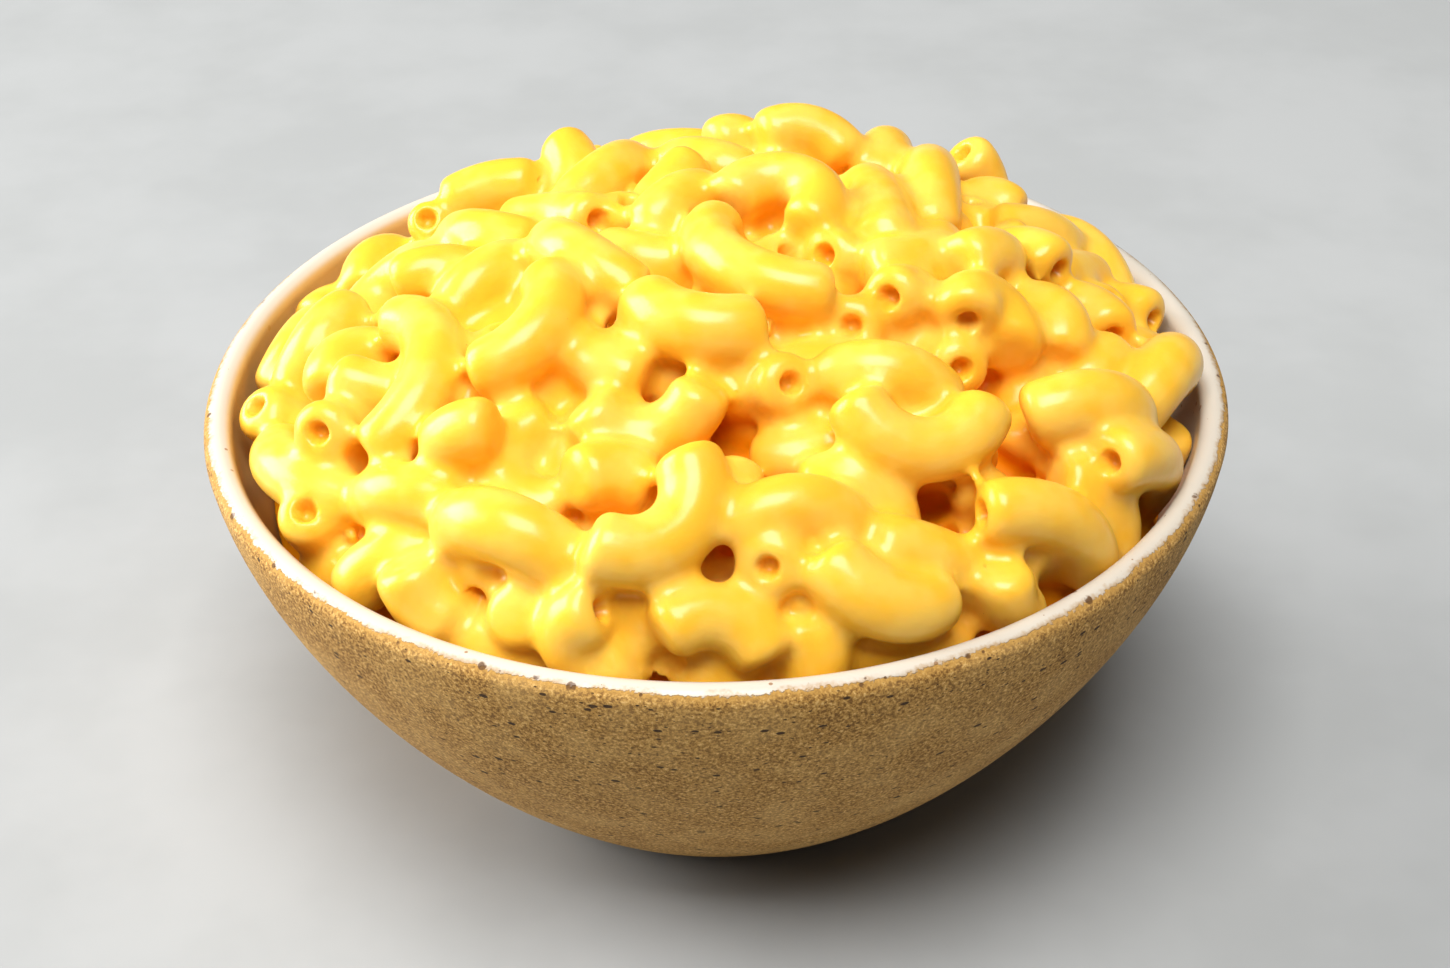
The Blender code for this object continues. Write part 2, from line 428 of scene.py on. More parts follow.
@dataclass(frozen=True)
class CheeseSauce:
    """Smooth, glossy cheese sauce over pasta, with painted shade, a deeper golden orange, down
    between the elbows.
    """

    crevice_shade: str = "crevice_shade"
    patch_size: float = 7.0 * MM
    streak_size: float = 1.6 * MM
    lump_size: float = 4.5 * MM
    sheen_size: float = 3.0 * MM
    relief_depth: float = 0.22 * MM
    flecks: Specks = Specks(9.0 * MM, 0.28 * MM, 0.4)
    creamy: Colour = (0.95, 0.555, 0.075, 1.0)
    yellow: Colour = (0.94, 0.495, 0.033, 1.0)
    # golden is painted shade: the colour given to the sauce deep between the elbows, where shade
    # and orange bounce light fall.
    golden: Colour = (0.80, 0.27, 0.001, 1.0)
    fleck: Colour = (0.35, 0.12, 0.02, 1.0)

    def material(self) -> bpy.types.Material:
        """Make the material.

        Returns:
            The material.
        """
        nodes = Nodes("cheese sauce")
        depth = nodes.attribute(self.crevice_shade)
        patches = nodes.noise(self.patch_size, 2.0)
        colour = nodes.mix(patches.rise(0.38, 0.66), self.yellow, self.creamy)
        # Painted shade: the sauce turns golden orange where the attribute says it lies deep
        # between the elbows or in a tube end's hole.
        colour = nodes.mix(depth, colour, self.golden)
        colour = nodes.mix(nodes.specks(self.flecks) * 0.7, colour, self.fleck)
        streaks = nodes.noise(self.streak_size, 2.0)
        lumps = nodes.noise(self.lump_size, 1.0)
        height = streaks * 0.3 + lumps * 0.7
        return nodes.finish(
            Base_Color=colour,
            Roughness=nodes.noise(self.sheen_size, 2.0) * 0.16 + 0.3 + depth * 0.2,
            Normal=nodes.relief(height, self.relief_depth),
            Subsurface_Weight=0.25,
            Subsurface_Radius=(1.0, 0.45, 0.08),
            Subsurface_Scale=2.2 * MM,
            Specular_IOR_Level=0.12,
            Coat_Weight=(1.0 - depth) * 0.5,
            Coat_Roughness=0.24,
        )


@dataclass(frozen=True)
class PaleFloor:
    """A plain pale floor with the faintest mottling."""

    light: Colour = (0.38, 0.387, 0.384, 1.0)
    dark: Colour = (0.35, 0.357, 0.353, 1.0)
    cloud_size: float = 60.0 * MM

    def material(self) -> bpy.types.Material:
        """Make the material.

        Returns:
            The material.
        """
        nodes = Nodes("pale floor")
        cloud = nodes.noise(self.cloud_size, 4.0, 0.6)
        colour = nodes.mix(cloud.rise(0.35, 0.65), self.light, self.dark)
        return nodes.finish(Base_Color=colour, Roughness=0.7, Specular_IOR_Level=0.2)


# Modelling helpers


def deselect() -> None:
    """Leave nothing selected and object mode on."""
    if bpy.context.mode != "OBJECT":
        bpy.ops.object.mode_set(mode="OBJECT")
    bpy.ops.object.select_all(action="DESELECT")


def choose(piece: bpy.types.Object) -> None:
    """Select one object alone and make it active.

    Args:
        piece: the object.
    """
    deselect()
    piece.select_set(True)
    bpy.context.view_layer.objects.active = piece


def apply_modifier(piece: bpy.types.Object, kind: str, **settings: Any) -> None:
    """Add a modifier and apply it.

    Args:
        piece: the object.
        kind: the modifier's type.
        settings: its properties.
    """
    choose(piece)
    modifier = piece.modifiers.new(kind.lower(), kind)
    for name, value in settings.items():
        setattr(modifier, name, value)
    bpy.ops.object.modifier_apply(modifier=modifier.name)


def coordinates(piece: bpy.types.Object) -> np.ndarray:
    """Read where the piece's vertices are.

    Args:
        piece: the object.

    Returns:
        Their coordinates, one row each.
    """
    flat = np.empty(len(piece.data.vertices) * 3)
    piece.data.vertices.foreach_get("co", flat)
    return flat.reshape(-1, 3)


def move_vertices(piece: bpy.types.Object, places: np.ndarray) -> None:
    """Put the piece's vertices at new places.

    Args:
        piece: the object.
        places: one row of coordinates for each vertex.
    """
    piece.data.vertices.foreach_set("co", places.reshape(-1))
    piece.data.update()


def paint(piece: bpy.types.Object, name: str, values: np.ndarray) -> None:
    """Store a number on each vertex, for the material to read.

    Args:
        piece: the object.
        name: the attribute's name.
        values: one number for each vertex.
    """
    layer = piece.data.attributes.new(name, "FLOAT", "POINT")
    layer.data.foreach_set("value", values.astype(np.float32))


def turned(name: str, profile: list[tuple[float, float]], sides: int) -> bpy.types.Object:
    """Extrude a profile point by point and spin it once round the Z axis into a closed solid.

    Args:
        name: the object's name.
        profile: (radius, height) points, from the axis back to the axis.
        sides: how many steps the turn has.

    Returns:
        The solid, smooth and with its faces outward.
    """
    deselect()
    radius, height = profile[0]
    bpy.ops.mesh.primitive_plane_add(size=1.0 * MM, location=(radius, 0.0, height))
    piece = bpy.context.active_object
    piece.name = name
    bpy.ops.object.transform_apply(location=True, rotation=True, scale=True)
    bpy.ops.object.mode_set(mode="EDIT")
    bpy.ops.mesh.select_all(action="SELECT")
    bpy.ops.mesh.merge(type="CENTER")
    for here, there in zip(profile, profile[1:]):
        step = (there[0] - here[0], 0.0, there[1] - here[1])
        bpy.ops.mesh.extrude_vertices_move(TRANSFORM_OT_translate={"value": step})
    bpy.ops.mesh.select_all(action="SELECT")
    bpy.ops.mesh.spin(
        steps=sides, angle=2.0 * math.pi, center=(0.0, 0.0, 0.0), axis=(0.0, 0.0, 1.0)
    )
    bpy.ops.mesh.select_all(action="SELECT")
    bpy.ops.mesh.remove_doubles(threshold=0.000005)
    bpy.ops.mesh.normals_make_consistent(inside=False)
    bpy.ops.object.mode_set(mode="OBJECT")
    bpy.ops.object.shade_smooth()
    return piece


def stands_for(piece: bpy.types.Object, node: Piece) -> None:
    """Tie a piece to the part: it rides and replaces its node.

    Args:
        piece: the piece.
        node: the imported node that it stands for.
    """
    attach(piece, "root")
    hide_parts(node.value)


# The photograph's viewpoint


@dataclass(frozen=True)
class Viewpoint:
    """The camera that took the photograph, found by fitting the bowl's rim and outline."""

    width: float = 1450.0
    height: float = 968.0
    lens_mm: float = 60.0
    sensor_mm: float = 36.0
    place: tuple[float, float, float] = (0.0, -0.32169, 0.27127)
    right: tuple[float, float, float] = (0.99982741, -0.01295175, -0.01331962)
    up: tuple[float, float, float] = (0.01833335, 0.57173939, 0.82023043)
    ahead: tuple[float, float, float] = (0.00300807, 0.82033306, -0.57187816)

    def camera(self) -> bpy.types.Object:
        """Make the camera and use it.

        Returns:
            The camera.
        """
        data = bpy.data.cameras.new("camera")
        data.lens = self.lens_mm
        data.sensor_width = self.sensor_mm
        data.clip_start = 0.01
        camera = bpy.data.objects.new("camera", data)
        bpy.context.scene.collection.objects.link(camera)
        columns = [self.right, self.up, tuple(-v for v in self.ahead), self.place]
        turn = Matrix([[column[row] for column in columns] for row in range(3)])
        camera.matrix_world = turn.to_4x4()
        bpy.context.scene.camera = camera
        return camera

    def towards(self, pixel: Pixel) -> Vector:
        """The way from the camera through a pixel of the photograph.

        Args:
            pixel: the pixel, across and down from the upper left corner.

        Returns:
            The way, of unit length.
        """
        pixels_ahead = self.lens_mm / self.sensor_mm * self.width
        across = (pixel[0] - self.width / 2.0) / pixels_ahead
        upward = (self.height / 2.0 - pixel[1]) / pixels_ahead
        way = Vector(self.ahead) + Vector(self.right) * across + Vector(self.up) * upward
        return way.normalized()

    def pixel(self, place: Vector) -> Pixel:
        """The pixel of the photograph that shows a place.

        Args:
            place: the place.

        Returns:
            The pixel, across and down from the upper left corner.
        """
        way = place - Vector(self.place)
        pixels = self.lens_mm / self.sensor_mm * self.width / way.dot(Vector(self.ahead))
        across = way.dot(Vector(self.right)) * pixels
        upward = way.dot(Vector(self.up)) * pixels
        return self.width / 2.0 + across, self.height / 2.0 - upward


# The bowl


@dataclass
class Bowl:
    """A hand-made round bowl with a bellied wall, a rounded lip and a flat foot.

    `sway` is how far the rim is out of round, `tilt` the part of that by which it also rises
    and falls, and `ripple` the finer wave on both. The bearings turn those waves, in radians.
    """

    rim_radius: float = 80.0 * MM
    height: float = 69.0 * MM
    foot_radius: float = 36.0 * MM
    wall_at_rim: float = 4.4 * MM
    floor_thickness: float = 7.0 * MM
    well_radius: float = 26.0 * MM
    foot_bevel: float = 0.8 * MM
    outer_belly: tuple[float, float] = (1.58, 1.14)
    inner_belly: tuple[float, float] = (1.62, 1.22)
    sides: int = 192
    wall_steps: int = 36
    lip_steps: int = 12
    sway: float = 0.45 * MM
    sway_bearing: float = -2.6
    tilt: float = 0.7
    tilt_bearing: float = 2.2
    ripple: float = 0.12 * MM
    ripple_bearing: float = 0.7

    def wall(self, share: float, rim: float, foot: float, belly: tuple[float, float]) -> float:
        """A bellied wall's radius.

        Args:
            share: how far down the wall, 0 at the rim and 1 at the foot.
            rim: the radius at the rim.
            foot: the radius at the foot.
            belly: the two powers that shape the curve.

        Returns:
            The radius there.
        """
        depth_power, root = belly
        return foot + (rim - foot) * (1.0 - share**depth_power) ** (1.0 / root)

    def outer(self, z: float) -> float:
        """The outside's radius.

        Args:
            z: the height above the foot.

        Returns:
            The radius there.
        """
        return self.wall(
            1.0 - z / self.height, self.rim_radius, self.foot_radius, self.outer_belly
        )

    def inner(self, z: float) -> float:
        """The inside's radius.

        Args:
            z: the height above the foot, which may be past either end of the wall.

        Returns:
            The radius there.
        """
        share = (self.height - z) / (self.height - self.floor_thickness)
        share = min(max(share, 0.0), 1.0)
        rim = self.rim_radius - self.wall_at_rim
        return self.wall(share, rim, self.well_radius, self.inner_belly)

    def heights(self, low: float, high: float) -> list[float]:
        """Heights down the wall, closer together near the foot.

        Args:
            low: the last height.
            high: the first height.

        Returns:
            The heights, from high to low.
        """
        steps = self.wall_steps
        turns = [math.sin(0.5 * math.pi * i / steps) for i in range(steps + 1)]
        return [high + (low - high) * turn for turn in turns]

    def profile(self) -> list[tuple[float, float]]:
        """The section that the bowl is turned from.

        Returns:
            (radius, height) points from the middle of the well, over the lip, to the middle of
            the foot.
        """
        lip_radius = self.wall_at_rim / 2.0
        lip_height = self.height - lip_radius
        inside = [
            (self.inner(z), z) for z in reversed(self.heights(self.floor_thickness, lip_height))
        ]
        outside = [(self.outer(z), z) for z in self.heights(self.foot_bevel, lip_height)]
        middle = (inside[-1][0] + outside[0][0]) / 2.0
        half = (outside[0][0] - inside[-1][0]) / 2.0
        lip = []
        for i in range(1, self.lip_steps):
            turn = math.pi * (1.0 - i / self.lip_steps)
            lip.append((middle + half * math.cos(turn), lip_height + lip_radius * math.sin(turn)))
        foot = [(self.foot_radius, 0.0), (0.0, 0.0)]
        return [(0.0, self.floor_thickness)] + inside + lip + outside + foot

    def build(self) -> bpy.types.Object:
        """Model and dress the bowl.

        Returns:
            The bowl.
        """
        profile = self.profile()
        piece = turned("stoneware_bowl", profile, self.sides)
        self.mark_outside(piece, profile)
        self.sway_by_hand(piece)
        piece.data.materials.append(Stoneware().material())
        stands_for(piece, Piece.BOWL)
        return piece

    def mark_outside(
        self, piece: bpy.types.Object, profile: list[tuple[float, float]]
    ) -> None:
        """Store on each vertex how far down the outside it lies, in mm from the lip's crest.

        Args:
            piece: the bowl.
            profile: the section that it was turned from.
        """
        section = np.array(profile)
        steps = np.hypot(*np.diff(section, axis=0).T)
        along = np.concatenate([[0.0], np.cumsum(steps)])
        crest = along[np.argmax(section[:, 1])]
        places = coordinates(piece)
        radii = np.hypot(places[:, 0], places[:, 1])
        ways = np.hypot(
            radii[:, None] - section[None, :, 0], places[:, 2][:, None] - section[None, :, 1]
        )
        paint(piece, Stoneware.down_outside, (along[ways.argmin(axis=1)] - crest) / MM)

    def sway_by_hand(self, piece: bpy.types.Object) -> None:
        """Take the wall slightly out of true, as a bowl thrown by hand is.

        Args:
            piece: the bowl.
        """
        places = coordinates(piece)
        turn = np.arctan2(places[:, 1], places[:, 0])
        high = np.clip(places[:, 2] / self.height, 0.0, 1.0)
        out = self.sway * np.cos(2.0 * turn + self.sway_bearing)
        out += self.ripple * np.cos(5.0 * turn + self.ripple_bearing)
        radius = np.hypot(places[:, 0], places[:, 1])
        grown = 1.0 + out * high / np.maximum(radius, 0.01)
        places[:, 0] *= grown
        places[:, 1] *= grown
        lift = self.sway * self.tilt * np.cos(turn + self.tilt_bearing)
        lift += self.ripple * np.cos(4.0 * turn)
        places[:, 2] += lift * high**3
        move_vertices(piece, places)


# The macaroni


class Open(Enum):
    """Which ends of an elbow show their hole, by the shares of the way along it."""

    NONE = ()
    START = (0.0,)
    END = (1.0,)
    BOTH = (0.0, 1.0)


@dataclass(frozen=True)
class Seen:
    """An elbow as the photograph shows it: three pixels of its middle line, and its depth.

    `near` is how far, in mm, those points lie towards the camera from the heap's usual level.
    Given one number for all three, the bend that the pixels leave out is made up in depth:
    towards the camera where `bulge` is 1, and away from it where it is -1.
    """

    start: Pixel
    middle: Pixel
    end: Pixel
    near: Union[float, tuple[float, float, float]] = 0.0
    thick: float = 1.0
    bulge: float = 1.0
    open_at: Open = Open.NONE

    def nears(self) -> tuple[float, float, float]:
        """How near each of the three points lies, in mm."""
        return self.near if isinstance(self.near, tuple) else (self.near,) * 3


@dataclass(frozen=True)
class Arc:
    """A tube's middle line: a start turned about an axis through a centre."""

    start: Vector
    centre: Vector
    axis: Vector
    sweep: float
    thickness: float
    open_at: Open = Open.BOTH

    def at(self, share: float) -> Vector:
        """The point at a share of the way along."""
        turn = Matrix.Rotation(self.sweep * share, 3, self.axis)
        return self.centre + turn @ (self.start - self.centre)

    def samples(self, count: int = 7) -> list[Vector]:
        """Evenly spaced points along the arc."""
        return [self.at(i / (count - 1)) for i in range(count)]

    def trimmed(self, length: float) -> "Arc":
        """The arc without a length at each end, for the rounded ends to make up.

        Args:
            length: the length taken off each end.

        Returns:
            The shorter arc.
        """
        cut = min(length / (self.start - self.centre).length, 0.3 * self.sweep)
        share = cut / self.sweep
        return replace(self, start=self.at(share), sweep=self.sweep - 2.0 * cut)


SEEN: dict[str, Seen] = {
    "great_c_right": Seen((858, 405), (912, 451), (980, 410), 4.0),
    "upper_arm_of_c": Seen((835, 380), (888, 372), (938, 402), 2.5),
    "great_c_front": Seen((598, 547), (683, 530), (690, 460), 3.0, 1.08),
    "fat_sideways": Seen((650, 312), (700, 321), (748, 335), 4.0, 1.13),
    "long_slope": Seen((705, 235), (762, 256), (815, 302), 3.5),
    "slope_below": Seen((742, 285), (785, 305), (800, 345), 1.5),
    "crown_arch": Seen((745, 205), (785, 162), (808, 235), 3.0),
    "crown_top": Seen((768, 138), (802, 130), (843, 158), 2.0, open_at=Open.END),
    "crown_left": Seen((716, 145), (735, 141), (752, 150), 0.5, open_at=Open.END),
    "twin_rings_right": Seen(
        (850, 323), (905, 338), (957, 366), (4.0, -3.0, 3.5), open_at=Open.BOTH
    ),
    "ring_over_hollow": Seen(
        (793, 384), (760, 384), (722, 388), (4.5, 0.5, 0.0), open_at=Open.START
    ),
    "small_ring_middle": Seen(
        (656, 360), (672, 378), (680, 405), (0.0, -1.0, -5.0), 0.9, open_at=Open.START
    ),
    "ring_upper_right": Seen(
        (822, 252), (848, 262), (870, 285), (3.0, 1.0, -1.0), open_at=Open.START
    ),
    "cup_right": Seen((885, 300), (905, 298), (925, 308), (3.0, 0.0, -5.0), open_at=Open.START),
    "u_middle": Seen((590, 412), (645, 438), (700, 392), 2.0, 0.97),
    "short_slope": Seen((572, 342), (605, 368), (640, 383), 1.5),
    "under_fat": Seen((588, 312), (615, 305), (640, 322), -1.0),
    "stub_middle": Seen((580, 482), (612, 475), (642, 485), 0.5, 1.06),
    "left_c": Seen((540, 428), (500, 468), (556, 512), 0.5),
    "left_front_slope": Seen((468, 528), (522, 536), (572, 570), 1.5, 1.1),
    "behind_left_slope": Seen((436, 532), (446, 502), (476, 504), -1.0, 0.95),
    "hook_left": Seen((545, 288), (535, 345), (485, 366), 3.0),
    "arch_left": Seen((455, 322), (475, 285), (525, 270), 1.0),
    "long_s_left": Seen((404, 328), (430, 385), (382, 450), 3.5),
    "round_left": Seen((334, 392), (348, 362), (384, 360), 2.0, 1.08),
    "ring_arch_left": Seen((358, 325), (385, 288), (428, 278), (0.0, 1.5, 4.0), open_at=Open.END),
    "upper_left": Seen((345, 292), (358, 262), (386, 252), 0.5, open_at=Open.END),
    "along_left_rim": Seen((262, 312), (300, 304), (338, 307), 0.0),
    "left_pair_one": Seen((262, 385), (276, 355), (305, 332), 0.5),
    "left_pair_two": Seen((300, 395), (315, 352), (340, 332), 0.5),
    "ring_far_left": Seen(
        (248, 414), (274, 415), (300, 432), (3.5, 0.5, -2.5), open_at=Open.START
    ),
    "ring_left_low": Seen(
        (326, 438), (346, 428), (366, 420), (1.0, -3.0, -7.0), 0.85, open_at=Open.START
    ),
    "blob_left": Seen((442, 450), (464, 434), (492, 430), 1.0),
    "left_u": Seen((290, 452), (308, 492), (352, 508), 1.5),
    "left_u_next": Seen((372, 502), (410, 494), (452, 505), 1.0),
    "ring_front_left": Seen(
        (284, 515), (315, 530), (352, 548), (3.5, 0.0, -3.0), open_at=Open.START
    ),
    "front_left_long": Seen((358, 585), (392, 564), (436, 554), 0.5),
    "front_left_fat": Seen((402, 580), (412, 606), (430, 642), 2.0, 1.08),
    "open_end_front": Seen(
        (468, 576), (474, 592), (488, 612), (-1.0, -2.5, -3.0), 0.85, open_at=Open.START
    ),
    "rim_front_left": Seen((318, 572), (346, 568), (372, 580), -1.5),
    "c_front_fat": Seen(
        (592, 606), (563, 645), (625, 666), (3.0, 2.5, 1.0), 1.04, open_at=Open.START
    ),
    "arch_front": Seen((668, 632), (728, 620), (765, 660), 2.5),
    "under_arch_front": Seen((700, 690), (715, 668), (735, 690), -2.0, 0.9),
    "web_front": Seen((618, 570), (630, 600), (650, 640), 1.0, 0.95),
    "front_long_left": Seen((510, 622), (548, 610), (590, 600), 0.0),
    "rim_front": Seen((478, 640), (512, 656), (548, 672), -1.0),
    "upright_front": Seen((818, 628), (824, 655), (816, 694), 1.5),
    "low_front_right": Seen((862, 655), (900, 647), (948, 660), 0.0),
    "arch_right_front": Seen((740, 536), (796, 508), (852, 534), 1.5),
    "ring_front": Seen(
        (768, 567), (770, 552), (778, 536), (5.5, 1.0, -5.0), 1.06, open_at=Open.START
    ),
    "behind_arch_right": Seen((815, 492), (868, 489), (890, 532), 1.5),
    "stub_hollow": Seen((738, 474), (736, 495), (742, 520), 0.0, 0.85),
    "fat_right_one": Seen((830, 568), (872, 600), (940, 598), 2.0, 1.08),
    "fat_right_two": Seen((872, 545), (922, 562), (972, 582), (1.5, 2.5, 1.5), 1.06),
    "twin_ring_one": Seen(
        (992, 517), (1062, 522), (1098, 575), (4.5, 3.0, 0.0), open_at=Open.START
    ),
    "twin_ring_two": Seen(
        (1012, 550), (1036, 552), (1062, 562), (4.5, 0.5, -4.0), open_at=Open.START
    ),
    "small_right_front": Seen((1010, 584), (1016, 606), (1040, 626), 3.0, 0.95),
    "open_end_right": Seen(
        (966, 484), (984, 494), (1000, 512), (1.0, 0.5, -2.0), 0.9, open_at=Open.START
    ),
    "slope_right": Seen((1062, 470), (1100, 502), (1116, 556), 0.5),
    "arch_right": Seen((1034, 418), (1076, 402), (1126, 428), 2.5, 1.1),
    "small_ring_right": Seen(
        (1074, 436), (1062, 452), (1056, 472), (0.5, -2.0, -5.0), 0.8, open_at=Open.START
    ),
    "hook_right": Seen((1114, 462), (1148, 454), (1166, 505), (3.0, 2.5, 0.0), open_at=Open.START),
    "right_rim_fat": Seen((1196, 378), (1162, 374), (1132, 410), 2.0, 1.08),
    "stub_upper_right": Seen((958, 262), (980, 258), (1002, 264), 3.0, 1.04),
    "behind_stub_right": Seen((1012, 258), (1030, 258), (1044, 264), 1.0, open_at=Open.END),
    "great_stub_right": Seen(
        (962, 318), (998, 308), (1008, 346), (4.0, 3.5, 1.0), 1.12, open_at=Open.START
    ),
    "tube_right": Seen((1030, 312), (1054, 320), (1060, 352), 1.0, 1.05),
    "hollow_end_right": Seen(
        (1112, 334), (1092, 316), (1070, 306), (2.0, 1.0, -1.0), open_at=Open.START
    ),
    "low_end_right": Seen((1122, 352), (1140, 354), (1158, 362), -1.5, 0.9),
    "ring_right_back": Seen(
        (1086, 282), (1070, 278), (1050, 282), (2.0, 0.5, -1.5), open_at=Open.START
    ),
    "long_right_back": Seen((1064, 238), (1103, 268), (1120, 316), 0.0),
    "back_right_one": Seen((968, 210), (988, 204), (1010, 214), 0.5),
    "back_right_two": Seen((1004, 232), (1036, 230), (1068, 246), 0.5),
    "inverted_u_back": Seen((866, 192), (880, 212), (884, 248), (-2.0, 2.5, 1.5), 1.1),
    "tube_back": Seen((926, 176), (932, 200), (930, 228), 1.5, 1.05),
    "bow_back": Seen((938, 246), (908, 268), (872, 272), 1.5),
    "back_left_tall": Seen((574, 204), (600, 180), (630, 174), 1.5, open_at=Open.END),
    "ring_back_left": Seen(
        (596, 220), (560, 218), (516, 224), (3.5, 1.0, 0.0), 0.95, open_at=Open.START
    ),
    "back_left_long": Seen((455, 205), (494, 188), (530, 186), (0.0, 1.0, 3.0), open_at=Open.END),
    "far_ring_left": Seen(
        (428, 217), (436, 226), (446, 238), (2.5, -1.0, -5.0), 0.8, open_at=Open.START
    ),
    "rings_back_left": Seen((464, 246), (495, 238), (528, 248), 0.0, open_at=Open.BOTH),
    "slope_back_left": Seen((556, 250), (594, 268), (632, 294), 2.5),
    "hollow_back": Seen((618, 258), (655, 264), (698, 272), -1.5),
    "back_middle": Seen((650, 228), (672, 206), (704, 198), 1.0),
    "back_row": Seen((672, 172), (702, 166), (744, 176), 0.5),
    "ring_back": Seen(
        (684, 172), (672, 184), (658, 200), (2.5, 1.0, 0.0), 0.9, open_at=Open.START
    ),
    "deep_in_hollow": Seen((765, 464), (800, 456), (832, 446), -9.0),
    "deep_front": Seen((690, 604), (722, 590), (762, 600), -9.0),
    "deep_right": Seen((1008, 452), (1034, 440), (1046, 470), -7.0),
    "beside_hook": Seen((1178, 438), (1186, 466), (1180, 500), -3.0),
    "low_right_rim": Seen((1118, 545), (1140, 528), (1166, 510), -4.0),
    "web_low": Seen((618, 612), (630, 642), (652, 674), -2.0),
    "low_front_left": Seen((450, 608), (470, 636), (506, 656), -2.0),
    "low_front_right_two": Seen((960, 612), (985, 606), (1010, 622), -7.0),
}
HOLLOWS: tuple[Pixel, ...] = (
    (728, 440),
    (775, 425),
    (700, 572),
    (812, 598),
    (850, 622),
    (965, 630),
    (925, 520),
    (1018, 390),
    (1075, 575),
    (775, 222),
    (700, 265),
    (340, 545),
    (247, 465),
    (900, 412),
    (660, 665),
)


